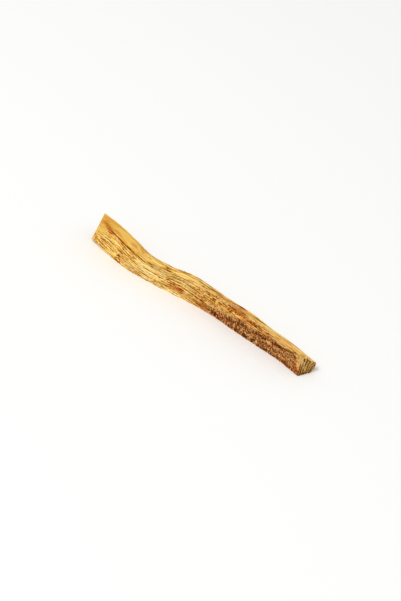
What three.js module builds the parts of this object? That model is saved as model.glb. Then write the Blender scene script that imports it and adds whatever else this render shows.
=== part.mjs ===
// A palo santo stick: one piece of wood, split along the grain from a bigger block and sawn off at
// both ends. It has four cloven faces and bends with the grain, and it lies on its flattest face.
// Millimetres. X runs along the stick, from its far end to its near end at +X, and +Z is up.
// Y runs from the near side of the stick to its far side. The origin is under its middle.

import * as THREE from 'three';
import { mergeVertices } from 'three/addons/utils/BufferGeometryUtils.js';

const { clamp, lerp, smoothstep } = THREE.MathUtils;

// Driving dimensions
const LENGTH = 97.8; // along the grain, between the two sawn ends
const OVERHANG = 0.4; // how far the ridge leans out over the foot of the near side

// The split follows the grain, so the section changes along the stick. At each station:
// along     place along the stick, from its middle
// sway      how far the near foot is bent sideways
// lift      height of the underside over the surface, 0 where the stick rests
// ridge     height of the edge between the near side and the top
// shoulder  height of the edge between the top and the far side
// reach     width of the top face, from the ridge to the shoulder
// foot      width of the underside
const STATIONS = [
  { along: -48.5, sway: -1.6, lift: 0.8, ridge: 9.7, shoulder: 7.2, reach: 8.6, foot: 6.3 },
  { along: -40.5, sway: -2.7, lift: 0.3, ridge: 10.6, shoulder: 7.3, reach: 8.7, foot: 6.4 },
  { along: -31.5, sway: -3.7, lift: 0.0, ridge: 9.4, shoulder: 6.8, reach: 8.2, foot: 6.2 },
  { along: -23.5, sway: -3.3, lift: 0.0, ridge: 7.5, shoulder: 5.1, reach: 7.6, foot: 5.7 },
  { along: -14.5, sway: -2.3, lift: 0.0, ridge: 7.3, shoulder: 5.1, reach: 7.4, foot: 5.5 },
  { along: -4.5, sway: -0.7, lift: 0.0, ridge: 8.4, shoulder: 5.6, reach: 7.8, foot: 5.7 },
  { along: 9.5, sway: 0.7, lift: 0.0, ridge: 8.8, shoulder: 4.0, reach: 7.6, foot: 5.8 },
  { along: 21.5, sway: 0.3, lift: 0.0, ridge: 8.8, shoulder: 4.3, reach: 7.7, foot: 5.6 },
  { along: 30.0, sway: 0.4, lift: 0.0, ridge: 8.3, shoulder: 3.4, reach: 7.5, foot: 5.4 },
  { along: 38.0, sway: 0.4, lift: 0.0, ridge: 7.7, shoulder: 3.2, reach: 7.3, foot: 5.0 },
  { along: 49.5, sway: -0.8, lift: 0.0, ridge: 8.1, shoulder: 2.8, reach: 7.4, foot: 4.8 },
];

// The saw didn't run square to the grain: how far a cut runs on along the stick, per millimetre
// across the stick and per millimetre up.
const NEAR_CUT = { across: 0.28, up: -0.14 };
const FAR_CUT = { across: -0.6, up: 0.35 };

// A split face is strips of fibres, which parted at slightly different depths. They wander over the
// face, by this part of a strip's width, and their depth changes from strip to strip and along them.
const STRIPS = { perFace: 4.5, depth: 0.18, step: 2.4, run: 11, wander: 0.6, wanderRun: 13, edge: 3 };

// Where the waves of the strips start, which differs from face to face
const PHASES = { near: 0, top: 2, far: 4 };

// How far the middle of a side swells out, and how much the swell changes along the stick
const NEAR_SWELL = { height: 0.15, change: 1, run: 6 };
const FAR_SWELL = { height: 0.45, change: 0.4, run: 9 };

// Hollows in the faces. Each has a depth, and two places along the stick and across its face that it
// is full depth between, with the distance that it fades out over. A place across a face is a
// fraction: of the way up on the near and far sides, and from the ridge to the shoulder on the top.
const KNOT = { depth: 0.4, along: [-35.2, -34, 1.2], across: [0.12, 0.25, 0.12] };
const SPLIT_LEDGE = { depth: 0.3, along: [-21, -4, 3], across: [0.65, 0.85, 0.1] };
const TOP_HOLLOW = { depth: 0.25, along: [-LENGTH, -31, 15], across: [0.4, 0.6, 0.4] };
const CRACK = { depth: 0.5, along: [-38, -22, 3], across: [0.08, 0.09, 0.08] };
const TORN_LEDGE = { depth: 0.5, along: [-9, 27, 4], across: [0.25, 0.5, 0.1] };
const NEAR_SCOOP = { depth: 0.6, along: [44, LENGTH, 12], across: [0.4, 0.6, 0.35] };

// A rim of fibres stands up along the shoulder, from the middle of the stick to its near end
const RIM = { depth: -0.25, along: [6, LENGTH, 10], across: [0.95, 1, 0.25] };

// The top is crested just before the near sawn end
const CREST = { depth: -0.6, along: [47.5, LENGTH, 6], across: [0.52, 0.62, 0.18] };

// The near half of the near side is weathered: pits a few millimetres apart, deeper from start to full,
// where two sets of waves meet that lean opposite ways
const PITS = { depth: 0.25, start: 3, full: 18, spacing: 3.3, lean: 8, crossLean: 11.2 };

// Cells of the surface: along the stick, and across each face
const CELLS_ALONG = 84;
const CELLS_ACROSS = 12;

const WOOD = { color: '#c98a3c', roughness: 0.75, metalness: 0 };

const COLUMNS = ['sway', 'lift', 'ridge', 'shoulder', 'reach', 'foot'];
const stations = new THREE.CubicInterpolant(
  STATIONS.map((station) => station.along),
  STATIONS.flatMap((station) => COLUMNS.map((column) => station[column])),
  COLUMNS.length,
);

// The four corners of the section at a place along the stick
function sectionAt(along) {
  const [sway, lift, ridge, shoulder, reach, foot] = stations.evaluate(along);
  const underside = Math.max(0, lift);
  return {
    nearFoot: [sway, underside],
    farFoot: [sway + foot, underside],
    ridge: [sway - OVERHANG, ridge],
    shoulder: [sway - OVERHANG + reach, shoulder],
  };
}

// 1 between two places, falling smoothly to 0 over a distance outside them
function between(value, from, to, fade) {
  return smoothstep(value, from - fade, from) * (1 - smoothstep(value, to, to + fade));
}

// 0 at the two long edges of a face and 1 along its middle
function crown(across) {
  return 4 * across * (1 - across);
}

// How far a hollow takes a face in, at a place along the stick and across the face
function hollow(feature, along, across) {
  return feature.depth * between(along, ...feature.along) * between(across, ...feature.across);
}

// How far the strip at a place on a face stands out; phase tells the faces apart
function strip(along, across, phase) {
  const wander = STRIPS.wander * Math.sin(along / STRIPS.wanderRun + phase);
  const number = Math.floor(STRIPS.perFace * across + wander);
  const level = Math.sin(STRIPS.step * number + phase + along / STRIPS.run);
  return STRIPS.depth * level * Math.min(1, STRIPS.edge * crown(across));
}

// How far the pits take the near side in: they lie where both waves are low or both are high
function pits(along, up) {
  const wave = Math.sin((2 * Math.PI * along) / PITS.spacing + PITS.lean * up);
  const crossWave = Math.sin((Math.PI * along) / PITS.spacing - PITS.crossLean * up);
  const weathering = smoothstep(along, PITS.start, PITS.full) * crown(up);
  return PITS.depth * Math.max(0, wave * crossWave) * weathering;
}

// How far the middle of a side stands out beyond its two edges
function swell(form, along, up) {
  return form.height * crown(up) * (1 + form.change * Math.sin(along / form.run));
}

function nearRelief(along, up) {
  const hollows = [KNOT, SPLIT_LEDGE, NEAR_SCOOP].reduce(
    (sum, feature) => sum + hollow(feature, along, up),
    pits(along, up),
  );
  return swell(NEAR_SWELL, along, up) + strip(along, up, PHASES.near) - hollows;
}

function topRelief(along, across) {
  return [TOP_HOLLOW, CRACK, RIM, CREST].reduce(
    (sum, feature) => sum - hollow(feature, along, across),
    strip(along, across, PHASES.top),
  );
}

function farRelief(along, up) {
  const outwards = swell(FAR_SWELL, along, up) + strip(along, up, PHASES.far);
  return outwards - hollow(TORN_LEDGE, along, up);
}

// The point of the stick for a place along it (0 far end, 1 near end), across it (0 near side, 1 far
// side) and up it (0 underside, 1 top)
function stickPoint(run, across, up) {
  const along = LENGTH * (run - 0.5);
  const section = sectionAt(along);
  const [y, z] = [0, 1].map((axis) => {
    const low = lerp(section.nearFoot[axis], section.farFoot[axis], across);
    const high = lerp(section.ridge[axis], section.shoulder[axis], across);
    return lerp(low, high, up);
  });
  const sideways = y + across * farRelief(along, up) - (1 - across) * nearRelief(along, up);
  const height = z + up * topRelief(along, across);
  const farCut = FAR_CUT.across * sideways + FAR_CUT.up * height;
  const nearCut = NEAR_CUT.across * sideways + NEAR_CUT.up * height;
  return new THREE.Vector3(along + lerp(farCut, nearCut, run), sideways, height);
}

// The stick starts as a plain box, whose points are moved to where the split left the wood
function stickGeometry() {
  const box = new THREE.BoxGeometry(1, 1, 1, CELLS_ALONG, CELLS_ACROSS, CELLS_ACROSS);
  box.deleteAttribute('normal');
  box.deleteAttribute('uv');
  const geometry = mergeVertices(box);
  const points = geometry.getAttribute('position');
  for (let i = 0; i < points.count; i += 1) {
    const [run, across, up] = [points.getX(i), points.getY(i), points.getZ(i)]
      .map((value) => clamp(value + 0.5, 0, 1));
    const point = stickPoint(run, across, up);
    points.setXYZ(i, point.x, point.y, point.z);
  }
  geometry.computeBoundingBox();
  const middle = geometry.boundingBox.getCenter(new THREE.Vector3());
  geometry.translate(-middle.x, -middle.y, 0);
  return geometry;
}

const stick = new THREE.Mesh(stickGeometry(), new THREE.MeshStandardMaterial(WOOD));
stick.name = 'stick';

const part = new THREE.Group();
part.add(stick);

export default part;
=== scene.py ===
"""A palo santo stick: a short bent piece of aromatic wood, split along the grain and sawn off at its ends.

The stick lies on a plain pale floor in soft studio light. X runs along the stick towards its near sawn
end, Y from its near side to its far side, and Z up. Places on the stick are in millimetres here, and
the meshes are in metres.
"""

import math

import bmesh
import bpy
import numpy as np
from bpy.props import FloatProperty, FloatVectorProperty, IntProperty, PointerProperty
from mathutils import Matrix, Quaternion, Vector, noise


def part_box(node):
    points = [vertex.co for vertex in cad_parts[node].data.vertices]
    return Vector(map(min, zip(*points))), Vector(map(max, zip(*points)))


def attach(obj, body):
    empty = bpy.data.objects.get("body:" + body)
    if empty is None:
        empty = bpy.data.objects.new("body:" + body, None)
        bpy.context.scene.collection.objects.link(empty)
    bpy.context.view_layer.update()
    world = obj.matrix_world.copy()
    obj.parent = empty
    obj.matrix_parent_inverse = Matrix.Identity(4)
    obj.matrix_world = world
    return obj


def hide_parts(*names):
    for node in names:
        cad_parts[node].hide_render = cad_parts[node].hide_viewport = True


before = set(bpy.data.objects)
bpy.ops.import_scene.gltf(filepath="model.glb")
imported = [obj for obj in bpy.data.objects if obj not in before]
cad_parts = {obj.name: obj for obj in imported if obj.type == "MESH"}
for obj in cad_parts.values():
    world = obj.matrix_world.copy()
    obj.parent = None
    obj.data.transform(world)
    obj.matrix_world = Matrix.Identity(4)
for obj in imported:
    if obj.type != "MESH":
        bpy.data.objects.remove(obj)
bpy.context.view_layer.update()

bl_info = {
    "name": "Palo Santo Stick",
    "version": (1, 0, 0),
    "blender": (4, 5, 0),
    "location": "3D View > Sidebar > Palo Santo",
    "description": "Makes a split and sawn palo santo stick, and the stage that it lies on",
    "category": "Add Mesh",
}

MM = 0.001

# The camera's sensor is as wide as full-frame film, in millimetres, and it sees from here on, in metres
FULL_FRAME = 36.0
NEAREST_VIEW = 0.01

# A diagonal wave texture of this scale has its bands one unit apart
WAVE_SCALE = 2 * math.pi / 10

# Sockets of a Mix node that mixes colours
MIX_FACTOR, MIX_A, MIX_B, MIX_RESULT = 0, 6, 7, 2

# The marks on the wood that the materials of the split faces and of the sawn ends read from the mesh. The
# relief among them is also painted into the colour of the split faces, as painted shade in its grooves and
# painted highlight on its crests.
SPLIT_MARKS = ("relief", "tone", "resin", "weathering", "speckle", "figure", "broad", "amber")
END_MARKS = ("rings", "tone", "resin")

# Length along the grain, between the two sawn ends
LENGTH = 97.8

# The split follows the grain, so the section changes along the stick. A station has its place along
# the stick, then the sideways bend of the near foot, the lift of the underside, the height of the
# ridge (the edge of near side and top), the height of the shoulder (the edge of top and far side),
# the width of the top from ridge to shoulder, and the width of the underside.
STATIONS = (
    (-48.5, -1.6, 0.8, 9.7, 7.2, 8.6, 6.3),
    (-40.5, -2.7, 0.3, 10.6, 7.3, 8.7, 6.4),
    (-31.5, -3.7, 0.0, 9.4, 6.8, 8.2, 6.2),
    (-23.5, -3.3, 0.0, 7.5, 5.1, 7.6, 5.7),
    (-14.5, -2.3, 0.0, 7.3, 5.1, 7.4, 5.5),
    (-4.5, -0.7, 0.0, 8.4, 5.6, 7.8, 5.7),
    (9.5, 0.7, 0.0, 8.8, 4.0, 7.6, 5.8),
    (21.5, 0.3, 0.0, 8.8, 4.3, 7.7, 5.6),
    (30.0, 0.4, 0.0, 8.3, 3.4, 7.5, 5.4),
    (38.0, 0.4, 0.0, 7.7, 3.2, 7.3, 5.0),
    (49.5, -0.8, 0.0, 8.1, 2.8, 7.4, 4.8),
)

# How far a saw cut runs on along the stick, per millimetre across it and per millimetre up
NEAR_CUT = (0.28, -0.14)
FAR_CUT = (-0.6, 0.35)

# Hollows in the faces: depth, then from, to and fade along the stick, and from, to and fade across the
# face, as a fraction of its width: upwards on the two sides, and from ridge to shoulder on the top
KNOT = (0.4, (-35.2, -34, 1.2), (0.12, 0.25, 0.12))
SPLIT_LEDGE = (0.3, (-21, -4, 3), (0.65, 0.85, 0.1))
NEAR_SCOOP = (0.6, (44, LENGTH, 12), (0.4, 0.6, 0.35))
TOP_HOLLOW = (0.25, (-LENGTH, -31, 15), (0.4, 0.6, 0.4))
RIDGE_CRACK = (0.5, (-38, -22, 3), (0.08, 0.09, 0.08))
TORN_LEDGE = (0.5, (-9, 27, 4), (0.25, 0.5, 0.1))
RIM = (-0.25, (6, LENGTH, 10), (0.95, 1, 0.25))
CREST = (-0.6, (47.5, LENGTH, 6), (0.52, 0.62, 0.18))

# A split face is strips of fibres, which parted at slightly different depths: how many there are, how
# far they wander, in widths of a strip, and the run of that, how far the next strip is along the wave
# of depths, the run of that wave along a strip, and how steeply it rises from the edges of a face. A
# run is the distance that a wave takes to turn by one radian.
STRIPS_PER_FACE = 4.5
STRIP_WANDER, STRIP_WANDER_RUN = 0.6, 13
STRIP_STEP, STRIP_RUN = 2.4, 11
STRIP_EDGE = 3

# Where the waves of the strips start, which differs from face to face
NEAR_PHASE, TOP_PHASE, FAR_PHASE = 0, 2, 4

# How far the middle of a side swells out, how much that changes along the stick, and the run of that
NEAR_SWELL = (0.15, 1, 6)
FAR_SWELL = (0.45, 0.4, 9)

# Pits of the weathered part: how far apart they are, how much the two sets of waves lean that make
# them, and where along the stick they start and are full depth
PIT_SPACING = 3.3
PIT_LEAN, PIT_CROSS_LEAN = 8, 11.2
PITTED = (3, 18)

# The four faces, in order round the stick. A place round the stick is a face and a fraction of its
# width: 0.9 is near the ridge on the near side, and 1.1 near the ridge on the top. A sawn end has no
# such place, apart from its rim.
NEAR, TOP, FAR, UNDER = 0, 1, 2, 3
NO_FACE = -10.0

# The sizes of streaks and spots are worked out as if every face were this wide, in millimetres
FACE_WIDTH = 8.0

# Distances in the block that the stick is made from are taken as 0 below this
TOUCHING = 1e-6

# The grain has the coordinates of an even, straight stick of this width and height. Its fibres drift
# up and down by this much, and sideways by this part of that, in waves of this run along the stick.
GRAIN_WIDTH, GRAIN_HEIGHT = 7.2, 8.4
DRIFT, DRIFT_SIDEWAYS, DRIFT_RUN = 0.5, 0.6, 14

# Uneven patches of the wood: their length along the grain and their width, and a number that sets them
# apart from other patches. Those of the fibres are in widths of a fibre, and the others in millimetres.
BROAD_FIBRES = (22, 1.7, 0)
FINE_FIBRES = (11, 0.8, 7)
GRIT = (0.9, 1.3, 3)
FRAY = (2.6, 0.5, 11)
WAVER = (4, 2.5, 17)
RING_PATHS = (60, 2.5, 23)
RING_DEPTHS = (60, 1.1, 29)

# The parts of broad and of fine fibres in the relief of a split face, of fray in the relief of the
# grit, and how far both are sunk, so that the faces as a whole stay in place
BROAD_PART, FINE_PART, FIBRE_SINK = 1.3, 0.8, 0.4
GRIT_FRAY, GRIT_SINK = 0.5, 0.2

# Dark marks are sunk and light ones raised by this much, in proportion to a tone within these limits
MARK_RELIEF = 0.22
MARK_TONES = (-0.7, 0.2)

# Growth rings on the cuts, where the saw left them as low ridges: how far apart they are, how much a
# step across and a step up count towards that, how much they waver, in radians, how strong they are,
# and the part of that on the far end
RING_SPACING = 1.15
RING_ACROSS, RING_UP = 0.98, -0.2
RING_WAVER = 3.5
RING_STRENGTH, FAR_RING_PART = 0.6, 0.5

# The weathered part of the near side: how high it reaches, at places along the stick
WEATHERED_TO = (
    (0, 0.0), (3, 0.3), (7, 0.4), (12, 0.44), (16, 0.5), (20, 0.68), (24, 0.7), (28, 0.7),
    (31, 0.74), (33, 0.8), (34.5, 0.84), (36, 0.78), (38, 0.75), (40, 0.76), (42, 0.83), (45, 0.91),
    (47, 0.9), (49, 0.74),
)

# How much its edge is frayed, and over what part of the side it fades out
EDGE_FRAY = 0.05
EDGE_FADE = (-0.04, 0.05)

# How much the places of marks waver round the stick
RAGGEDNESS = 0.025

# A zone of the wood has the side that it is on, or the stick for all of it, and then its places along
# the stick in millimetres, and up, across or round it in fractions. It is 0 at the first place and 1 at
# the second, or where there is a third number, 1 from the first place to the second, fading out over
# that distance on both sides.
WEATHERED = ("near side", ("along", 0, 10))
NEAR_SIDE = ("near side",)
FAR_END = ("stick", ("along", -20, -30))
SMOOTH_TOP = ("stick", ("around", 1.05, 1.95, 0.08), ("along", -20, -34))
SMOOTH_CORNER = ("stick", ("up", 0.5, 0.7), ("along", -43, -46))
BROAD_TOP = ("top", ("along", -30, -16))
LOW_GOLD = ("near side", ("up", 0.8, 0.5))
BROWNING = ("near side", ("along", -8, 3))
PEPPERED = ("near side", ("along", 3, 18, 6))
RIDGE_BAND = ("near side", ("along", 16, 34, 4), ("up", 0.7, 0.8))
TOP_AND_FAR = ("stick", ("around", 1.0, 1.15), ("around", 3.0, 2.9))
TOWARDS_NEAR_END = ("stick", ("along", -34, -20))
PAST_THE_STAIN = ("stick", ("along", -36, -24))

# At the near end, the saw left a pale rim where it broke out of the near side, and the cut has a dark
# foot and a light corner. Its upper edge has a painted highlight, and a small nick in it is painted dark as
# its shade, with no hollow made for it.
SAW_RIM = ("near side", ("up", 0.25, 0.95, 0.1), ("along", 47.5, 48.1))
CUT_FOOT = ("near end", ("up", 0.4, 0))
CUT_EDGE_HIGHLIGHT = ("stick", ("up", 0.93, 0.97), ("across", 0.4, 0.9, 0.1), ("along", 48.2, 48.6))
CUT_CORNER = ("near end", ("up", 0.45, 0.75), ("across", 0.5, 0.2))
CUT_NICK_SHADE = ("near end", ("up", 0.8, 0.9, 0.08), ("across", 0.28, 0.34, 0.06))

# How much lighter or darker the zones of the near end are
END_TONES = ((0.25, SAW_RIM), (-0.3, CUT_FOOT), (0.4, CUT_EDGE_HIGHLIGHT), (0.5, CUT_CORNER), (-0.8, CUT_NICK_SHADE))

# How strongly zones are speckled, and the golden wood everywhere
SPECKLES = ((2.1, PEPPERED), (2.0, RIDGE_BAND), (0.95, LOW_GOLD))
LEAST_SPECKLE = 0.66

# How much stronger or weaker the figure of the wood is in zones, and how much it is smoothed in others
FIGURES = ((0.15, NEAR_SIDE), (-0.18, FAR_END), (-0.4, PEPPERED))
SMOOTHING = 0.7

# How much resin is in the browning wood and in the rim that the saw left
BROWNING_RESIN, RIM_RESIN = 0.32, 0.5

# How amber the top and far side are, and the golden wood everywhere, from the far end to the near one,
# and the part of that which weathering takes away
TOP_AMBER = (0.85, 0.7)
GOLD_AMBER = (0.56, 0.32)
BLEACHING = 0.8

# Streaks and spots fade out between these parts of their half width, and are frayed by this much
STREAK_FADE = (0.3, 1.3)
SPOT_FADE = (0.3, 1.1)
FRAYING = 0.5

# Streaks that are lighter or darker than the wood: how much, their width, and the places that they
# run through, along and round the stick
STREAKS = (
    # the drying crack under the ridge and along it on the top, painted dark as the shade inside it
    (-0.25, 1.0, ((-42, 0.96), (-40.6, 0.94), (-38, 0.925))),
    (-0.5, 1.0, ((-37.5, 0.92), (-36, 0.91), (-33, 0.92), (-31.2, 0.94))),
    (-0.4, 1.4, ((-31, 0.965), (-27.3, 0.975), (-24.6, 0.97), (-21.5, 0.99), (-19, 0.965), (-16, 0.98))),
    (-0.3, 0.9, ((-27, 1.08), (-24, 1.1), (-20.5, 1.08))),
    # the edge of the stain that runs into it
    (-0.1, 3.0, ((-47, 1.42), (-45.5, 1.2), (-44, 1.03), (-41.6, 0.96))),
    # dark grain lines of the near side
    (-0.22, 0.6, ((-44, 0.54), (-41, 0.555), (-39, 0.58), (-37.5, 0.61), (-33, 0.6), (-27, 0.64))),
    (-0.14, 0.6, ((-46, 0.42), (-42.3, 0.34), (-40, 0.33), (-38.5, 0.31), (-36.3, 0.35))),
    (-0.14, 0.5, ((-44.5, 0.09), (-42, 0.12), (-40, 0.12), (-37, 0.15))),
    (-0.34, 0.5, ((-23, 0.69), (-21.5, 0.67), (-18.5, 0.66), (-17, 0.63), (-15.5, 0.59), (-14, 0.6))),
    (-0.32, 0.5, ((-12.5, 0.62), (-11, 0.61), (-9.3, 0.58), (-8.4, 0.55))),
    (-0.34, 0.7, ((-10, 0.92), (-8.5, 0.88), (-6.5, 0.87), (-5.2, 0.83))),
    (-0.34, 0.45, ((-4, 0.79), (-1.7, 0.81), (0.5, 0.79), (2.2, 0.8))),
    (-0.26, 0.5, ((1, 0.42), (2.5, 0.44), (3.7, 0.41), (5.4, 0.44))),
    # the cracked nick at the knot, painted dark as the shade inside it
    (-0.5, 0.7, ((-35.1, 0.25), (-34.6, 0.17), (-33.6, 0.09))),
    # light grain lines of the near side
    (0.16, 0.5, ((-43, 0.72), (-40, 0.77), (-32, 0.765), (-29, 0.8), (-25, 0.86))),
    (0.14, 0.5, ((-43.5, 0.66), (-40, 0.66), (-37, 0.69), (-31, 0.67))),
    (0.22, 0.5, ((-19.5, 0.59), (-17.5, 0.565), (-16.3, 0.57))),
    (0.2, 0.6, ((-11, 0.8), (-8.5, 0.78), (-5, 0.7))),
    # pale fibres above the weathered part
    (0.22, 0.6, ((17.8, 0.77), (24, 0.765), (28.5, 0.75), (31, 0.79), (33, 0.85), (36.8, 0.93))),
    (0.22, 0.6, ((36.8, 0.93), (39, 0.96), (45.5, 0.98))), (0.2, 0.5, ((21, 0.82), (26, 0.8), (28, 0.77))),
    # brown streaks under the ridge
    (-0.16, 0.5, ((24.5, 0.9), (26, 0.88), (28, 0.87))), (-0.14, 0.45, ((28, 0.92), (30, 0.91), (32, 0.93))),
    (-0.2, 0.5, ((19.6, 0.84), (21.4, 0.83))), (-0.2, 0.5, ((33, 0.93), (35, 0.96), (38, 1.03))),
    # a painted highlight along the lit shoulder, and pale fibres beside it at the near end
    (0.3, 0.7, ((-6, 1.96), (12, 1.95), (30, 1.97), (60, 1.97))), (0.8, 2.6, ((43.5, 1.76), (60, 1.76))),
    (0.3, 1.6, ((-24, 1.97), (-10, 1.96))),
    # the foot of the near side: a painted highlight along its lit lower edge in the middle, and darker along
    # it on the near half
    (0.25, 0.6, ((-12, 0.03), (12, 0.03))),
    (-0.26, 1.3, ((20, 0.06), (44, 0.07))),
    # dark masses at the top of the weathered part
    (-0.34, 0.9, ((16.6, 0.35), (18.3, 0.38), (19.8, 0.45))),
    (-0.3, 1.2, ((29, 0.61), (31, 0.62), (32.7, 0.57))), (-0.22, 0.9, ((22, 0.53), (27, 0.55), (33, 0.57))),
    (-0.5, 1.3, ((36, 0.66), (38.2, 0.69), (39.8, 0.66))),
    (-0.35, 0.9, ((41, 0.75), (43, 0.79), (45.8, 0.88))),
    # streaks of the hidden faces
    (-0.3, 0.6, ((-40, 2.4), (-22, 2.45), (-9, 2.38), (4, 2.44))),
    (-0.3, 0.5, ((8, 2.7), (22, 2.66), (38, 2.72))),
    (0.25, 0.8, ((-30, 2.72), (-12, 2.7), (-2, 2.76))),
    (-0.25, 0.5, ((-36, 3.6), (-12, 3.55), (6, 3.62), (30, 3.5))),
)

# Spots that are lighter or darker than the wood: how much, the place, and their length and width
SPOTS = (
    # the small ring of a bud, and the wood round the knot
    (0.35, (-45.2, 0.26), 1.8, 0.9), (-0.25, (-45.7, 0.19), 1.6, 0.6), (-0.25, (-44.5, 0.35), 1.8, 0.7),
    (-0.75, (-35.1, 0.25), 1.8, 1.5), (0.2, (-35.9, 0.47), 2.4, 2.0), (0.16, (-37, 0.22), 4.0, 1.8),
    (-0.3, (-32, 0.12), 1.6, 0.6), (-0.24, (-30.4, 0.13), 2.2, 0.6), (-0.3, (-35.7, 0.91), 1.8, 1.0),
    # pores and bruises of the golden half
    (-0.22, (-21.7, 0.32), 1.6, 1.6), (-0.2, (-23.4, 0.55), 1.4, 0.8), (-0.2, (-14, 0.74), 1.6, 1.0),
    (-0.28, (-11.3, 0.71), 1.0, 0.6), (-0.28, (-2.3, 0.38), 1.5, 1.3), (-0.3, (-1.3, 0.25), 1.1, 1.8),
    (-0.45, (-0.8, 0.46), 1.0, 0.6), (-0.35, (3.8, 0.41), 1.6, 0.8), (-0.4, (5, 0.93), 1.6, 0.9),
    (-0.35, (7.8, 0.95), 1.4, 0.7), (-0.35, (9.7, 0.92), 1.1, 0.6), (-0.25, (8.3, 0.77), 1.4, 0.7),
    (-0.5, (15.2, 0.99), 1.5, 1.8), (-0.25, (-3, 1.27), 2.4, 0.8), (-0.3, (-5.6, 0.36), 4.4, 3.4),
    (-0.1, (-8, 0.42), 6.0, 3.0), (-0.2, (-15.5, 1.15), 3.0, 1.0), (-0.35, (-13.6, 1.4), 2.4, 2.0),
    (-0.1, (-45, 1.25), 5.0, 4.0),
    # patches of the golden half, nearly all light
    (0.08, (-46.5, 0.75), 8.0, 4.0), (0.24, (-35, 1.5), 18.0, 8.0), (0.22, (-17.5, 0.88), 12.0, 2.6),
    (0.14, (-20, 0.5), 18.0, 8.0), (0.12, (-13.5, 0.3), 4.0, 4.0), (-0.08, (-36, 0.75), 13.0, 4.0),
    (0.2, (-23, 1.35), 7.0, 3.0), (0.3, (-31, 1.5), 6.0, 5.0), (0.16, (21, 1.4), 13.0, 6.0),
    (0.08, (-37, 0.4), 14.0, 6.0), (0.1, (-22, 0.75), 14.0, 4.0), (0.06, (-40, 0.2), 14.0, 4.0),
    (0.3, (8.8, 0.53), 1.6, 1.3), (0.3, (11.7, 0.53), 2.0, 1.3), (0.2, (5.2, 0.83), 1.2, 0.8),
    (0.2, (-7, 1.3), 5.0, 2.0), (0.2, (6.7, 1.25), 2.0, 2.4), (0.22, (11, 1.3), 3.0, 2.4),
    # hollows and crests of the weathered part, painted darker as their shade and lighter as their highlight
    (-0.65, (15.7, 0.31), 3.4, 1.6), (-0.2, (9.6, 0.15), 2.6, 1.6), (-0.1, (12, 0.2), 9.0, 4.0),
    (-0.4, (21.2, 0.65), 2.4, 1.3), (-0.35, (46.6, 0.76), 2.0, 1.6), (-0.35, (41.2, 0.27), 1.3, 0.9),
    (-0.25, (24.2, 0.4), 1.1, 2.4), (-0.25, (31.9, 0.38), 1.1, 2.4), (-0.2, (36.4, 0.35), 1.8, 1.6),
    (-0.3, (33.8, 0.1), 3.4, 1.0), (0.35, (11.3, 0.31), 1.8, 1.1), (0.3, (18.6, 0.54), 3.2, 1.0),
    (0.3, (27.2, 0.45), 1.3, 2.4), (0.35, (31.4, 0.61), 1.0, 0.8), (0.4, (34.5, 0.53), 1.2, 1.2),
    (0.3, (37.1, 0.46), 1.2, 1.2), (0.3, (30, 0.35), 1.3, 1.0), (0.32, (26.5, 0.19), 1.8, 1.0),
    (0.28, (28.8, 0.16), 1.6, 0.8), (0.26, (39.4, 0.25), 1.0, 0.8), (0.12, (33.5, 0.28), 3.4, 2.2),
    (0.2, (47.8, 0.24), 3.6, 2.4),
    # browner wood under the ridge and at the foot
    (-0.3, (19.5, 0.9), 13.0, 3.6), (-0.2, (29, 0.87), 9.0, 2.0), (-0.04, (3, 0.25), 14.0, 5.0),
    # dark and light patches of the top
    (-0.2, (5, 1.62), 20.0, 3.4), (-0.8, (29.8, 1.18), 4.0, 2.8), (-0.5, (36.8, 1.17), 4.6, 2.8),
    (0.2, (44.5, 1.12), 3.0, 1.6), (0.25, (20, 1.75), 8.0, 2.4), (0.2, (16.5, 1.15), 4.0, 1.6),
    (0.15, (10, 1.12), 5.0, 2.0), (0.26, (33, 1.6), 12.0, 4.0), (0.3, (42, 1.6), 10.0, 4.0),
    (0.45, (37, 1.5), 27.0, 9.0), (0.16, (3, 1.5), 30.0, 9.0), (0.2, (-22, 1.5), 14.0, 9.0),
    # bruises of the hidden faces
    (-0.3, (-28, 2.3), 9.0, 1.4), (-0.3, (33, 2.4), 6.0, 1.8), (-0.25, (-18, 3.4), 14.0, 1.4),
)

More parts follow.
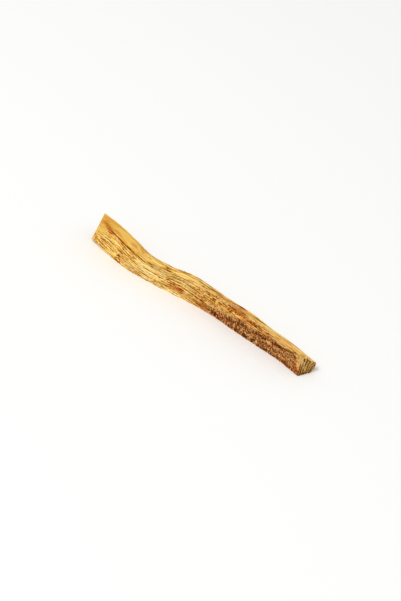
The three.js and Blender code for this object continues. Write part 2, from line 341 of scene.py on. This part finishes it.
# Wood reddened by resin: how much, the place, and its length and width
RESIN_SPOTS = (
    # the stain over the ridge at the far end
    (0.3, (-46.4, 1.38), 5.0, 5.0), (0.45, (-44.4, 1.12), 4.6, 4.4), (0.8, (-42.6, 0.98), 6.0, 3.0),
    (0.6, (-37, 0.92), 13.0, 1.5), (0.4, (-29, 0.92), 9.0, 1.2), (0.25, (-42, 0.8), 4.0, 2.0),
    # round the ring and the knot
    (0.4, (-44.6, 0.32), 3.0, 2.4), (0.45, (-33.0, 0.33), 4.4, 3.4), (0.22, (-25.3, 0.33), 5.0, 3.2),
    # the blotch and the dots of the golden half
    (0.8, (-5.4, 0.37), 4.8, 3.8), (0.7, (-7.2, 0.37), 6.4, 3.4), (0.6, (-9.0, 0.44), 8.0, 3.4),
    (0.35, (-9.8, 0.36), 4.6, 3.2), (0.9, (-13.4, 1.36), 2.8, 2.2), (0.35, (-15.5, 1.4), 5.0, 2.4),
    (0.7, (-31, 1.52), 5.0, 4.4), (0.3, (-27, 1.73), 4.0, 2.6), (0.25, (-39, 1.3), 7.0, 3.0),
    # where the golden wood turns brown
    (0.62, (4.3, 0.22), 9.0, 4.0), (0.8, (9.6, 0.17), 4.0, 2.2), (0.5, (14, 0.25), 10.0, 3.4),
    (0.8, (19.5, 0.92), 11.0, 3.4), (0.8, (25.5, 0.9), 9.0, 2.6), (0.65, (33, 0.88), 10.0, 2.4),
    (0.55, (40.5, 0.95), 12.0, 2.2), (0.7, (24, 0.77), 12.0, 1.4), (0.7, (31, 0.78), 8.0, 1.6),
    (0.5, (15, 0.75), 8.0, 2.6), (0.6, (20.5, 0.68), 4.0, 1.6), (0.6, (18, 1.25), 14.0, 5.0),
    (0.4, (19.5, 0.1), 5.0, 1.2), (0.5, (32.5, 0.68), 5.0, 1.8), (0.35, (33.4, 0.33), 4.0, 3.0),
    (0.5, (14, 1.6), 34.0, 9.0), (0.42, (39, 1.5), 26.0, 9.0), (0.3, (30, 1.1), 5.0, 2.0),
    (0.3, (37, 1.1), 6.0, 2.0), (0.3, (43, 1.1), 5.0, 2.4),
    # the red end of the weathered part
    (0.6, (42.3, 0.18), 4.4, 2.0), (1.0, (47.8, 0.23), 5.6, 3.4), (0.45, (46.8, 0.42), 5.0, 2.4),
    # the hidden faces
    (0.5, (-12, 2.5), 12.0, 2.4), (0.6, (26, 2.35), 9.0, 2.0), (0.5, (-34, 2.6), 7.0, 2.0),
    (0.5, (12, 3.5), 16.0, 2.4),
)


def hex_to_linear(code):
    """The linear colour of an sRGB hex code."""
    values = [int(code[i : i + 2], 16) / 255 for i in (1, 3, 5)]
    return tuple(v / 12.92 if v <= 0.04045 else ((v + 0.055) / 1.055) ** 2.4 for v in values)


class StickSizes(bpy.types.PropertyGroup):
    """Sizes of the stick and of the detail of its wood"""

    length: FloatProperty(
        name="Length", description="Length along the grain, between the two sawn ends",
        default=LENGTH * MM, min=60 * MM, max=150 * MM, unit="LENGTH")
    overhang: FloatProperty(
        name="Overhang", description="How far the ridge leans out over the foot of the near side",
        default=0.4 * MM, unit="LENGTH")
    strip_depth: FloatProperty(
        name="Strip depth", description="Depth of the steps where strips of fibres parted",
        default=0.18 * MM, unit="LENGTH")
    fibre_width: FloatProperty(
        name="Fibre width", description="Width of the ridges of fibres on a split face",
        default=0.7 * MM, unit="LENGTH")
    fibre_height: FloatProperty(
        name="Fibre height", description="Height of the ridges of fibres on a split face",
        default=0.12 * MM, unit="LENGTH")
    grit_height: FloatProperty(
        name="Grit height", description="Height of the grit of the weathered part",
        default=0.22 * MM, unit="LENGTH")
    pit_depth: FloatProperty(
        name="Pit depth", description="Depth of the pits of the weathered part",
        default=0.25 * MM, unit="LENGTH")
    saw_mark: FloatProperty(
        name="Saw mark", description="Depth of the marks that the saw left on the ends",
        default=0.08 * MM, unit="LENGTH")
    cells_along: IntProperty(
        name="Cells along", description="Cells of the mesh along the stick", default=400, min=40)
    cells_across: IntProperty(
        name="Cells across", description="Cells of the mesh across each face", default=56, min=8)


class WoodColours(bpy.types.PropertyGroup):
    """Colours of the split and sawn wood, from the darkest grain to the lightest"""

    # The darkest colour paints the shade inside the cracks, as well as the knot and the darkest grain
    darkest_grain_and_crack_shade: FloatVectorProperty(
        name="Crack shade", description="Painted shade of the cracks, and the knot", subtype="COLOR",
        default=hex_to_linear("#703f02"))
    grain_line: FloatVectorProperty(
        name="Grain lines", description="Dark lines of the grain", subtype="COLOR",
        default=hex_to_linear("#b1791f"))
    gold: FloatVectorProperty(
        name="Gold", description="Fresh heartwood", subtype="COLOR", default=hex_to_linear("#ddac55"))
    pale_gold: FloatVectorProperty(
        name="Pale gold", description="Light lines of the grain", subtype="COLOR",
        default=hex_to_linear("#efcf7b"))
    blush: FloatVectorProperty(
        name="Blush", description="The palest fibres", subtype="COLOR",
        default=hex_to_linear("#fce7a9"))
    amber: FloatVectorProperty(
        name="Amber", description="Tint of the resinous heartwood of the top", subtype="COLOR",
        default=hex_to_linear("#ffe8a0"))
    resin: FloatVectorProperty(
        name="Resin", description="Tint of streaks and stains of resin", subtype="COLOR",
        default=hex_to_linear("#d89146"))
    # The darkest and lightest weathered colours are partly the weathered wood's own and partly painted shade
    # in its hollows and painted highlight on its crests
    weathered_dark_and_hollow_shade: FloatVectorProperty(
        name="Weathered hollows and their painted shade", description="Hollows of the weathered part, darkened with painted shade", subtype="COLOR",
        default=hex_to_linear("#5a2a09"))
    weathered: FloatVectorProperty(
        name="Weathered", description="The weathered part of the near side", subtype="COLOR",
        default=hex_to_linear("#a46726"))
    weathered_light_and_crest_highlight: FloatVectorProperty(
        name="Weathered crests and their painted highlight", description="Raised grain of the weathered part, lightened with painted highlight", subtype="COLOR",
        default=hex_to_linear("#e2ae76"))
    end_dark: FloatVectorProperty(
        name="End grain, dark", description="Dark growth rings on the sawn ends", subtype="COLOR",
        default=hex_to_linear("#5e3a08"))
    end_mid: FloatVectorProperty(
        name="End grain", description="Between the growth rings on the sawn ends", subtype="COLOR",
        default=hex_to_linear("#966628"))
    end_light: FloatVectorProperty(
        name="End grain, light", description="Light growth rings on the sawn ends", subtype="COLOR",
        default=hex_to_linear("#eabc72"))


class StageSettings(bpy.types.PropertyGroup):
    """The floor, the lights and the camera"""

    floor_width: FloatProperty(
        name="Floor width", description="Width of the floor", default=6.0, unit="LENGTH")
    floor_colour: FloatVectorProperty(
        name="Floor", description="Colour of the floor", subtype="COLOR",
        default=hex_to_linear("#f6f6f4"))
    fill: FloatProperty(
        name="Fill light", description="Strength of the white light from all round", default=0.6)
    key_power: FloatProperty(
        name="Key light", description="Power of the soft box", default=23.0, unit="POWER")
    key_size: FloatProperty(
        name="Soft box size", description="Width of the soft box", default=1.0, unit="LENGTH")
    key_place: FloatVectorProperty(
        name="Soft box place", description="Where the soft box hangs, turned towards the stick",
        default=(-0.3, -0.95, 1.7), subtype="XYZ", unit="LENGTH")
    lens: FloatProperty(
        name="Lens", description="Focal length of the camera, in millimetres", default=100.0)
    distance: FloatProperty(
        name="Distance", description="From the camera to the stick", default=0.564, unit="LENGTH")
    azimuth: FloatProperty(
        name="Azimuth", description="Way round the stick, 0 looking at its near side",
        default=math.radians(37.6), subtype="ANGLE")
    elevation: FloatProperty(
        name="Elevation", description="Angle that the camera looks down at",
        default=math.radians(35.0), subtype="ANGLE")
    roll: FloatProperty(
        name="Roll", description="Turn of the camera about its own line of sight",
        default=math.radians(9.6), subtype="ANGLE")
    target: FloatVectorProperty(
        name="Target", description="The place on the stick that the camera looks at",
        default=(4.3 * MM, -1.95 * MM, 3.6 * MM), subtype="XYZ", unit="LENGTH")


def smoothstep(value, low, high):
    """0 below low, 1 above high, and a smooth rise between them."""
    t = np.clip((value - low) / (high - low), 0, 1)
    return t * t * (3 - 2 * t)


def between(value, start, end, fade):
    """1 between start and end, falling smoothly to 0 over a distance outside them."""
    return smoothstep(value, start - fade, start) * (1 - smoothstep(value, end, end + fade))


def ramp(value, first, second, fade=None):
    """Rises from 0 at the first place to 1 at the second, whichever is the bigger. With a fade, it is 1
    between the two and falls to 0 outside them."""
    if fade is not None:
        return between(value, first, second, fade)
    if first > second:
        return 1 - smoothstep(value, second, first)
    return smoothstep(value, first, second)


def crown(across):
    """0 at the two long edges of a face and 1 along its middle."""
    return 4 * across * (1 - across)


def mix(start, end, part):
    """The value that is that part of the way from start to end."""
    return start + (end - start) * part


def hollow(feature, along, across):
    """How far a hollow takes a face in."""
    depth, run, width = feature
    return depth * between(along, *run) * between(across, *width)


def sections(along):
    """The values of the stations at places along the stick, on a smooth curve through them."""
    table = np.array(STATIONS)
    places, values = table[:, 0], table[:, 1:]
    slopes = np.diff(values, axis=0) / np.diff(places)[:, None]
    tangents = np.vstack([slopes[:1], (slopes[1:] + slopes[:-1]) / 2, slopes[-1:]])
    along = np.clip(along, places[0], places[-1])
    i = np.clip(np.searchsorted(places, along) - 1, 0, len(places) - 2)
    span = (places[i + 1] - places[i])[:, None]
    t = (along - places[i])[:, None] / span
    start = (2 * t**3 - 3 * t**2 + 1) * values[i] + (t**3 - 2 * t**2 + t) * span * tangents[i]
    end = (3 * t**2 - 2 * t**3) * values[i + 1] + (t**3 - t**2) * span * tangents[i + 1]
    return (start + end).T


def strip(along, across, phase, depth):
    """How far the strip of fibres at a place on a face stands out; phase tells the faces apart."""
    wander = STRIP_WANDER * np.sin(along / STRIP_WANDER_RUN + phase)
    number = np.floor(STRIPS_PER_FACE * across + wander)
    level = np.sin(STRIP_STEP * number + phase + along / STRIP_RUN)
    return depth * level * np.minimum(1, STRIP_EDGE * crown(across))


def swell(form, along, up):
    """How far the middle of a side stands out beyond its two edges."""
    height, change, run = form
    return height * crown(up) * (1 + change * np.sin(along / run))


def pits(along, up, depth):
    """How far the pits take the near side in, where two sets of waves that lean opposite ways meet."""
    wave = np.sin(2 * math.pi * along / PIT_SPACING + PIT_LEAN * up)
    cross_wave = np.sin(math.pi * along / PIT_SPACING - PIT_CROSS_LEAN * up)
    return depth * np.maximum(0, wave * cross_wave) * smoothstep(along, *PITTED) * crown(up)


def stick_block(sizes):
    """A unit cube cut into cells, and where each of its vertices is along, across and up it, 0 to 1."""
    block = bmesh.new()
    bmesh.ops.create_cube(block, size=1)
    long_edges = [edge for edge in block.edges if length_along(edge) > TOUCHING]
    bmesh.ops.subdivide_edges(block, edges=long_edges, cuts=sizes.cells_along - 1, use_grid_fill=True)
    cross_edges = [edge for edge in block.edges if length_along(edge) < TOUCHING]
    bmesh.ops.subdivide_edges(block, edges=cross_edges, cuts=sizes.cells_across - 1, use_grid_fill=True)
    places = np.array([vertex.co[:] for vertex in block.verts]) + 0.5
    return block, np.clip(places, 0, 1).T


def length_along(edge):
    """How far an edge of the block runs along it."""
    start, end = edge.verts
    return abs(start.co.x - end.co.x)


def place_round(across, up):
    """Where a point of the block's skin is round the stick, as a face and a fraction of its width."""
    faces = [across < TOUCHING, up > 1 - TOUCHING, across > 1 - TOUCHING, up < TOUCHING]
    return np.select(faces, [NEAR + up, TOP + across, FAR + 1 - up, UNDER + 1 - across], NO_FACE)


class Surface:
    """The places of the stick's vertices, in millimetres, and the marks on its wood."""

    def __init__(self, run, across, up, sizes):
        self.along = sizes.length / MM * (run - 0.5)
        self.across, self.up = across, up
        self.around = place_round(across, up)
        self.ends = np.where(run < TOUCHING, -1.0, 0.0) + np.where(run > 1 - TOUCHING, 1.0, 0.0)
        self.sides = {
            "stick": np.ones_like(run),
            "near side": (self.around >= NEAR) & (self.around <= TOP),
            "top": (self.around > TOP) & (self.around < FAR),
            "near end": self.ends > 0,
        }
        drift = DRIFT * np.sin(self.along / DRIFT_RUN)
        self.grain = np.stack([
            self.along, GRAIN_WIDTH * across + DRIFT_SIDEWAYS * drift, GRAIN_HEIGHT * up + drift])

        self.fray = self.patches(*FRAY)
        self.ragged_around = self.around + RAGGEDNESS * self.patches(*WAVER)
        self.rings = self.growth_rings()
        self.mark_kinds()
        self.mark_tone()
        self.mark_stains()
        self.relief = self.fine_relief(sizes)
        self.points = self.shape(run, sizes)

    def patches(self, length, width, seed):
        """Smooth noise from -1 to 1, of patches of about that length along the grain and that width."""
        along, across, up = self.grain
        points = zip(along / length, across / width, up / width + seed)
        return np.array([noise.noise(point) for point in points])

    def zone(self, zone):
        """How far each vertex is in a zone, from 0 to 1."""
        side, *places = zone
        inside = self.sides[side]
        for direction, *place in places:
            inside = inside * ramp(getattr(self, direction), *place)
        return inside

    def streak(self, points, width):
        """1 on a line through (along, around) points, falling to 0 at half that width on both sides."""
        nearest = np.full(len(self.along), np.inf)
        for (along_a, around_a), (along_b, around_b) in zip(points, points[1:]):
            step = np.array([along_b - along_a, (around_b - around_a) * FACE_WIDTH])
            offset = np.stack([self.along - along_a, (self.ragged_around - around_a) * FACE_WIDTH])
            t = np.clip(step @ offset / (step @ step), 0, 1)
            nearest = np.minimum(nearest, np.hypot(offset[0] - t * step[0], offset[1] - t * step[1]))
        return 1 - smoothstep(nearest / (width / 2) + FRAYING * self.fray, *STREAK_FADE)

    def spot(self, centre, length, width):
        """1 at an (along, around) place, falling to 0 at the frayed edge of an oval of that size."""
        along = 2 * (self.along - centre[0]) / length
        around = 2 * (self.ragged_around - centre[1]) * FACE_WIDTH / width
        return 1 - smoothstep(np.hypot(along, around) + FRAYING * self.fray, *SPOT_FADE)

    def mark_kinds(self):
        """Marks how weathered the wood is, how speckled, and how strong and how broad its figure is."""
        places, heights = np.array(WEATHERED_TO).T
        edge = np.interp(self.along, places, heights) - self.ragged_around + EDGE_FRAY * self.fray
        self.weathering = smoothstep(edge, *EDGE_FADE) * self.zone(WEATHERED)
        speckle = np.full(len(self.along), LEAST_SPECKLE)
        for strength, zone in SPECKLES:
            speckle = np.maximum(speckle, strength * self.zone(zone))
        self.speckle = speckle * (1 - self.weathering)
        self.figure = 1 + sum(strength * self.zone(zone) for strength, zone in FIGURES)
        self.figure -= SMOOTHING * np.maximum(self.zone(SMOOTH_TOP), self.zone(SMOOTH_CORNER))
        self.broad = self.zone(BROAD_TOP)

    def mark_tone(self):
        """Marks how much lighter or darker the wood is than it would be, with painted highlights and painted
        shade among the streaks, spots and zones.
        """
        self.tone = np.zeros_like(self.along)
        for strength, width, points in STREAKS:
            self.tone += strength * self.streak(points, width)
        for strength, centre, length, width in SPOTS:
            self.tone += strength * self.spot(centre, length, width)
        for strength, zone in END_TONES:
            self.tone += strength * self.zone(zone)

    def mark_stains(self):
        """Marks how resinous and how amber the wood is. The rim that the saw left isn't weathered."""
        self.resin = BROWNING_RESIN * self.zone(BROWNING) * (1 - self.weathering)
        for strength, centre, length, width in RESIN_SPOTS:
            self.resin = np.maximum(self.resin, strength * self.spot(centre, length, width))
        rim = self.zone(SAW_RIM)
        self.resin = np.maximum(self.resin, RIM_RESIN * rim)
        self.weathering *= 1 - rim
        amber = self.zone(TOP_AND_FAR) * mix(*TOP_AMBER, self.zone(TOWARDS_NEAR_END))
        amber = np.maximum(amber, mix(*GOLD_AMBER, self.zone(PAST_THE_STAIN)))
        self.amber = amber * (1 - BLEACHING * self.weathering)

    def fine_relief(self, sizes):
        """How far the fibres, the grit of the weathered part and the cracks raise the surface."""
        fibre = sizes.fibre_width / MM
        broad, fine = (
            np.abs(self.patches(length * fibre, width * fibre, seed))
            for length, width, seed in (BROAD_FIBRES, FINE_FIBRES)
        )
        fibres = sizes.fibre_height / MM * (BROAD_PART * broad + FINE_PART * fine - FIBRE_SINK)
        grit = np.abs(self.patches(*GRIT)) + GRIT_FRAY * self.fray - GRIT_SINK
        grit *= sizes.grit_height / MM
        split = mix(fibres, grit, self.weathering)
        return split + MARK_RELIEF * np.clip(self.tone, *MARK_TONES) * (self.ends == 0)

    def growth_rings(self):
        """Light and dark growth rings on the cuts, from about -1 to 1."""
        _, across, up = self.grain
        waver = RING_WAVER * self.patches(*RING_PATHS)
        strength = RING_STRENGTH + self.patches(*RING_DEPTHS)
        strength *= np.where(self.ends < 0, FAR_RING_PART, 1)
        distance = RING_ACROSS * across + RING_UP * up
        return strength * np.sin(2 * math.pi * distance / RING_SPACING + waver)

    def forms(self, sizes):
        """How far the strips, swells and hollows raise the near side, the top and the far side."""
        along, across, up, depth = self.along, self.across, self.up, sizes.strip_depth / MM
        near = swell(NEAR_SWELL, along, up) + strip(along, up, NEAR_PHASE, depth)
        near -= sum(hollow(feature, along, up) for feature in (KNOT, SPLIT_LEDGE, NEAR_SCOOP))
        near -= pits(along, up, sizes.pit_depth / MM)
        top = strip(along, across, TOP_PHASE, depth)
        top -= sum(hollow(feature, along, across) for feature in (TOP_HOLLOW, RIDGE_CRACK, RIM, CREST))
        far = swell(FAR_SWELL, along, up) + strip(along, up, FAR_PHASE, depth)
        far -= hollow(TORN_LEDGE, along, up)
        return near, top, far

    def shape(self, run, sizes):
        """The places of the vertices on the bent stick, between its two oblique cuts."""
        across, up, relief = self.across, self.up, self.relief
        near, top, far = self.forms(sizes)
        sway, lift, ridge, shoulder, reach, foot = sections(self.along)
        lift = np.maximum(0, lift)
        low_y = sway + foot * across
        high_y = sway - sizes.overhang / MM + reach * across
        high_z = mix(ridge, shoulder, across)
        y = mix(low_y, high_y, up) + across * (far + relief) - (1 - across) * (near + relief)
        z = mix(lift, high_z, up) + up * (top + relief) - (1 - up) * np.minimum(0, relief)
        far_cut, near_cut = (run_on[0] * y + run_on[1] * z for run_on in (FAR_CUT, NEAR_CUT))
        x = self.along + mix(far_cut, near_cut, run) + self.ends * sizes.saw_mark / MM * self.rings
        return np.stack([x, y, z])


def add_node(tree, kind, inputs=None, stops=(), **settings):
    """Adds a node with its settings; an input is a value or the socket of another node. The stops are
    those of a colour ramp, each a place and a linear colour."""
    node = tree.nodes.new(kind)
    for name, value in settings.items():
        setattr(node, name, value)
    for name, value in (inputs or {}).items():
        if isinstance(value, bpy.types.NodeSocket):
            tree.links.new(value, node.inputs[name])
        else:
            node.inputs[name].default_value = value
    for number, (place, colour) in enumerate(stops):
        elements = node.color_ramp.elements
        element = elements[number] if number < len(elements) else elements.new(place)
        element.position, element.color = place, (*colour, 1)
    return node


def new_material(name):
    """A material with an empty node tree and its output node."""
    material = bpy.data.materials.new(name)
    material.use_nodes = True
    tree = material.node_tree
    tree.nodes.clear()
    return material, tree, add_node(tree, "ShaderNodeOutputMaterial")


def wood_patterns(tree, sizes):
    """Noise that follows the grain. Each pattern has the length along the grain and the width across it
    of its patches, in millimetres, and its detail."""
    grain = add_node(tree, "ShaderNodeAttribute", attribute_name="grain").outputs["Vector"]
    patterns = {}
    for name, (length, width, detail) in sizes.items():
        mapped = add_node(tree, "ShaderNodeMapping", {
            "Vector": grain, "Scale": (1 / length, 1 / width, 1 / width)})
        patterns[name] = add_node(tree, "ShaderNodeTexNoise", {
            "Vector": mapped.outputs["Vector"], "Scale": 1.0, "Detail": detail}).outputs["Fac"]
    return patterns


def weighed(tree, start, terms):
    """The sum of a value and of terms, each a socket and its weight."""
    total = start
    for socket, weight in terms:
        total = add_node(tree, "ShaderNodeMath", {
            0: socket, 1: weight, 2: total}, operation="MULTIPLY_ADD").outputs["Value"]
    return total


def grain_lines(tree, spacing, length):
    """Wavering light and dark lines along the grain, that far apart and that long, in millimetres."""
    grain = add_node(tree, "ShaderNodeAttribute", attribute_name="grain").outputs["Vector"]
    mapped = add_node(tree, "ShaderNodeMapping", {"Vector": grain, "Scale": (1 / length, 1, 1)})
    return add_node(tree, "ShaderNodeTexWave", {
        "Vector": mapped.outputs["Vector"], "Scale": WAVE_SCALE / spacing, "Distortion": 3.0,
        "Detail": 2.0, "Detail Scale": 1.2,
    }, bands_direction="DIAGONAL").outputs["Fac"]


def split_heartwood(colours):
    """Palo santo heartwood, split along the grain: oily golden fibres in light and dark streaks, with a
    dull sheen, redder where resin has soaked in and brown and gritty where it has weathered. Its grooves
    and hollows are darkened by painted shade, and its crests lightened by painted highlight."""
    material, tree, output = new_material("split palo santo heartwood")
    marks = {
        name: add_node(tree, "ShaderNodeAttribute", attribute_name=name).outputs["Fac"]
        for name in SPLIT_MARKS
    }

    # Real fibres and pores are about a tenth of a millimetre wide, which is too fine to show, so the
    # fibres and dashes are drawn three to four times as wide. Grit is about half a millimetre wide.
    patterns = wood_patterns(tree, {
        "fibres": (4.5, 0.34, 2.0),
        "bands": (12.0, 1.3, 2.0),
        "broad": (6.0, 1.0, 2.0),
        "dashes": (1.0, 0.36, 2.0),
        "grit": (0.4, 0.62, 3.0),
        "lumps": (2.2, 1.5, 1.0),
    })

    lines = grain_lines(tree, 0.8, 14.0)
    # The dashes and the broad pattern darken as much as they lighten, as strongly as their marks say
    speckles = weighed(tree, 0.0, [(patterns["dashes"], marks["speckle"]), (marks["speckle"], -0.5)])
    broad = weighed(tree, 0.0, [(patterns["broad"], marks["broad"]), (marks["broad"], -0.5)])
    figure = weighed(tree, -1.25, [
        (patterns["fibres"], 1.8), (patterns["bands"], 0.12), (lines, 0.6), (speckles, 2.0)])
    # The relief is painted into the colour too: its grooves darker as painted shade and its crests lighter
    # as painted highlight
    gold_value = weighed(tree, 0.5, [
        (figure, marks["figure"]), (marks["relief"], 1.2), (marks["tone"], 0.75), (broad, 3.0)])
    gold = add_node(tree, "ShaderNodeValToRGB", {"Fac": gold_value}, stops=[
        (0.0, colours.darkest_grain_and_crack_shade), (0.22, colours.grain_line), (0.45, colours.gold),
        (0.66, colours.pale_gold), (0.95, colours.blush)])
    # In the weathered brown, the grit and the relief paint the hollows darker as painted shade and the
    # crests lighter as painted highlight
    brown_value = weighed(tree, -1.79, [
        (patterns["grit"], 3.1), (patterns["lumps"], 0.5), (patterns["fibres"], 0.9),
        (marks["relief"], 0.6), (marks["tone"], 0.8)])
    brown = add_node(tree, "ShaderNodeValToRGB", {"Fac": brown_value}, stops=[
        (0.12, colours.weathered_dark_and_hollow_shade), (0.48, colours.weathered), (0.85, colours.weathered_light_and_crest_highlight)])
    colour = add_node(tree, "ShaderNodeMix", {
        MIX_FACTOR: marks["weathering"], MIX_A: gold.outputs["Color"], MIX_B: brown.outputs["Color"],
    }, data_type="RGBA").outputs[MIX_RESULT]
    fine_stain = weighed(tree, -0.3, [(patterns["dashes"], 2.6)])
    stain = weighed(tree, 0.0, [(marks["resin"], fine_stain)])
    for factor, tint in ((marks["amber"], colours.amber), (stain, colours.resin)):
        colour = add_node(tree, "ShaderNodeMix", {
            MIX_FACTOR: factor, MIX_A: colour, MIX_B: (*tint, 1),
        }, data_type="RGBA", blend_type="MULTIPLY").outputs[MIX_RESULT]

    height = weighed(tree, 0.0, [
        (patterns["fibres"], 1.0), (lines, 0.4), (patterns["grit"], marks["weathering"])])
    bump = add_node(tree, "ShaderNodeBump", {"Height": height, "Strength": 0.6, "Distance": 0.1 * MM})
    roughness = weighed(tree, 0.42, [(patterns["bands"], 0.3), (marks["weathering"], 0.2)])
    shader = add_node(tree, "ShaderNodeBsdfPrincipled", {
        "Base Color": colour, "Roughness": roughness, "Specular IOR Level": 0.06,
        "Normal": bump.outputs["Normal"]})
    tree.links.new(shader.outputs["BSDF"], output.inputs["Surface"])
    return material


def sawn_end_grain(colours):
    """Palo santo end grain as a coarse saw left it: growth rings about a millimetre apart, dull and dry."""
    material, tree, output = new_material("sawn palo santo end grain")
    marks = {
        name: add_node(tree, "ShaderNodeAttribute", attribute_name=name).outputs["Fac"]
        for name in END_MARKS
    }

    # Real pores are about a tenth of a millimetre wide, and are drawn twice as wide to show
    patterns = wood_patterns(tree, {"pores": (60.0, 0.22, 2.0), "patches": (60.0, 2.2, 1.0)})
    value = weighed(tree, -0.94, [
        (marks["rings"], 0.45), (patterns["pores"], 1.9), (patterns["patches"], 1.0), (marks["tone"], 1.0)])
    rings = add_node(tree, "ShaderNodeValToRGB", {"Fac": value}, stops=[
        (0.1, colours.end_dark), (0.5, colours.end_mid), (0.85, colours.end_light)])
    colour = add_node(tree, "ShaderNodeMix", {
        MIX_FACTOR: marks["resin"], MIX_A: rings.outputs["Color"], MIX_B: (*colours.resin, 1),
    }, data_type="RGBA", blend_type="MULTIPLY").outputs[MIX_RESULT]
    bump = add_node(tree, "ShaderNodeBump", {
        "Height": patterns["pores"], "Strength": 0.6, "Distance": 0.1 * MM})
    shader = add_node(tree, "ShaderNodeBsdfPrincipled", {
        "Base Color": colour, "Roughness": 0.85, "Specular IOR Level": 0.05,
        "Normal": bump.outputs["Normal"]})
    tree.links.new(shader.outputs["BSDF"], output.inputs["Surface"])
    return material


def matt_white_paper(stage):
    """Matt white background paper, which takes a soft shadow."""
    material, tree, output = new_material("matt white paper")
    shader = add_node(tree, "ShaderNodeBsdfPrincipled", {
        "Base Color": (*stage.floor_colour, 1), "Roughness": 0.9, "Specular IOR Level": 0.2})
    tree.links.new(shader.outputs["BSDF"], output.inputs["Surface"])
    return material


class PALO_SANTO_OT_stick(bpy.types.Operator):
    """Make the stick of split wood, with its two sawn ends"""

    bl_idname = "palo_santo.stick"
    bl_label = "Stick"

    def execute(self, context):
        sizes, colours = context.scene.palo_santo_sizes, context.scene.palo_santo_colours
        block, (run, across, up) = stick_block(sizes)
        surface = Surface(run, across, up, sizes)
        low, high = (np.array(corner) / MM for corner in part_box("stick"))
        middle = (surface.points.min(axis=1) + surface.points.max(axis=1)) / 2
        shift = (low + high) / 2 - middle
        shift[2] = low[2] - surface.points[2].min()
        points = (surface.points + shift[:, None]).T * MM
        for vertex, point in zip(block.verts, points):
            vertex.co = point
        block.verts.index_update()
        for face in block.faces:
            face.smooth = True
            ends = {surface.ends[vertex.index] for vertex in face.verts}
            face.material_index = int(ends in ({-1.0}, {1.0}))
        for edge in block.edges:
            edge.smooth = len({face.material_index for face in edge.link_faces}) == 1
        bmesh.ops.recalc_face_normals(block, faces=block.faces)

        mesh = bpy.data.meshes.new("palo_santo_stick")
        block.to_mesh(mesh)
        block.free()
        for name in dict.fromkeys(SPLIT_MARKS + END_MARKS):
            values = getattr(surface, name)
            mesh.attributes.new(name, "FLOAT", "POINT").data.foreach_set("value", values)
        grain = mesh.attributes.new("grain", "FLOAT_VECTOR", "POINT")
        grain.data.foreach_set("vector", surface.grain.T.ravel())
        mesh.materials.append(split_heartwood(colours))
        mesh.materials.append(sawn_end_grain(colours))

        stick = bpy.data.objects.new("palo_santo_stick", mesh)
        context.scene.collection.objects.link(stick)
        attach(stick, "root")
        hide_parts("stick")
        return {"FINISHED"}


class PALO_SANTO_OT_stage(bpy.types.Operator):
    """Make the floor, the soft studio light and the camera"""

    bl_idname = "palo_santo.stage"
    bl_label = "Stage"

    def execute(self, context):
        scene, stage = context.scene, context.scene.palo_santo_stage
        plane = bmesh.new()
        bmesh.ops.create_grid(plane, x_segments=1, y_segments=1, size=stage.floor_width / 2)
        mesh = bpy.data.meshes.new("floor")
        plane.to_mesh(mesh)
        plane.free()
        mesh.materials.append(matt_white_paper(stage))
        floor = bpy.data.objects.new("floor", mesh)
        scene.collection.objects.link(floor)

        scene.world = bpy.data.worlds.new("white studio")
        scene.world.use_nodes = True
        background = scene.world.node_tree.nodes["Background"]
        background.inputs["Color"].default_value = (1, 1, 1, 1)
        background.inputs["Strength"].default_value = stage.fill

        key = bpy.data.lights.new("soft box", "AREA")
        key.shape = "SQUARE"
        key.size = stage.key_size
        key.energy = stage.key_power
        lamp = bpy.data.objects.new("soft box", key)
        lamp.location = stage.key_place
        lamp.rotation_euler = Vector(lamp.location).to_track_quat("Z", "Y").to_euler()
        scene.collection.objects.link(lamp)

        lens = bpy.data.cameras.new("camera")
        lens.lens = stage.lens
        lens.sensor_width = FULL_FRAME
        lens.clip_start = NEAREST_VIEW
        camera = bpy.data.objects.new("camera", lens)
        across = math.cos(stage.elevation)
        back = Vector((
            math.sin(stage.azimuth) * across, -math.cos(stage.azimuth) * across, math.sin(stage.elevation)))
        camera.location = Vector(stage.target) + back * stage.distance
        camera.rotation_mode = "QUATERNION"
        level = (-back).to_track_quat("-Z", "Y")
        camera.rotation_quaternion = level @ Quaternion((0, 0, 1), stage.roll)
        scene.collection.objects.link(camera)
        scene.camera = camera
        scene.view_settings.view_transform = "Standard"
        return {"FINISHED"}


class PALO_SANTO_PT_panel(bpy.types.Panel):
    """The stick's settings and the buttons that make it"""

    bl_idname = "PALO_SANTO_PT_panel"
    bl_label = "Palo Santo Stick"
    bl_space_type = "VIEW_3D"
    bl_region_type = "UI"
    bl_category = "Palo Santo"

    def draw(self, context):
        for group in ("palo_santo_sizes", "palo_santo_colours", "palo_santo_stage"):
            settings = getattr(context.scene, group)
            box = self.layout.box()
            for name in settings.__annotations__:
                box.prop(settings, name)
        self.layout.operator(PALO_SANTO_OT_stick.bl_idname)
        self.layout.operator(PALO_SANTO_OT_stage.bl_idname)


CLASSES = (
    StickSizes, WoodColours, StageSettings, PALO_SANTO_OT_stick, PALO_SANTO_OT_stage, PALO_SANTO_PT_panel,
)


def register():
    """Registers the classes and puts the settings on the scene."""
    for cls in CLASSES:
        bpy.utils.register_class(cls)
    bpy.types.Scene.palo_santo_sizes = PointerProperty(type=StickSizes)
    bpy.types.Scene.palo_santo_colours = PointerProperty(type=WoodColours)
    bpy.types.Scene.palo_santo_stage = PointerProperty(type=StageSettings)


def unregister():
    """Takes the settings off the scene and unregisters the classes."""
    for group in ("palo_santo_sizes", "palo_santo_colours", "palo_santo_stage"):
        delattr(bpy.types.Scene, group)
    for cls in reversed(CLASSES):
        bpy.utils.unregister_class(cls)


def main():
    """Makes the stick and its stage."""
    register()
    bpy.ops.palo_santo.stick()
    bpy.ops.palo_santo.stage()


if __name__ == "__main__":
    main()
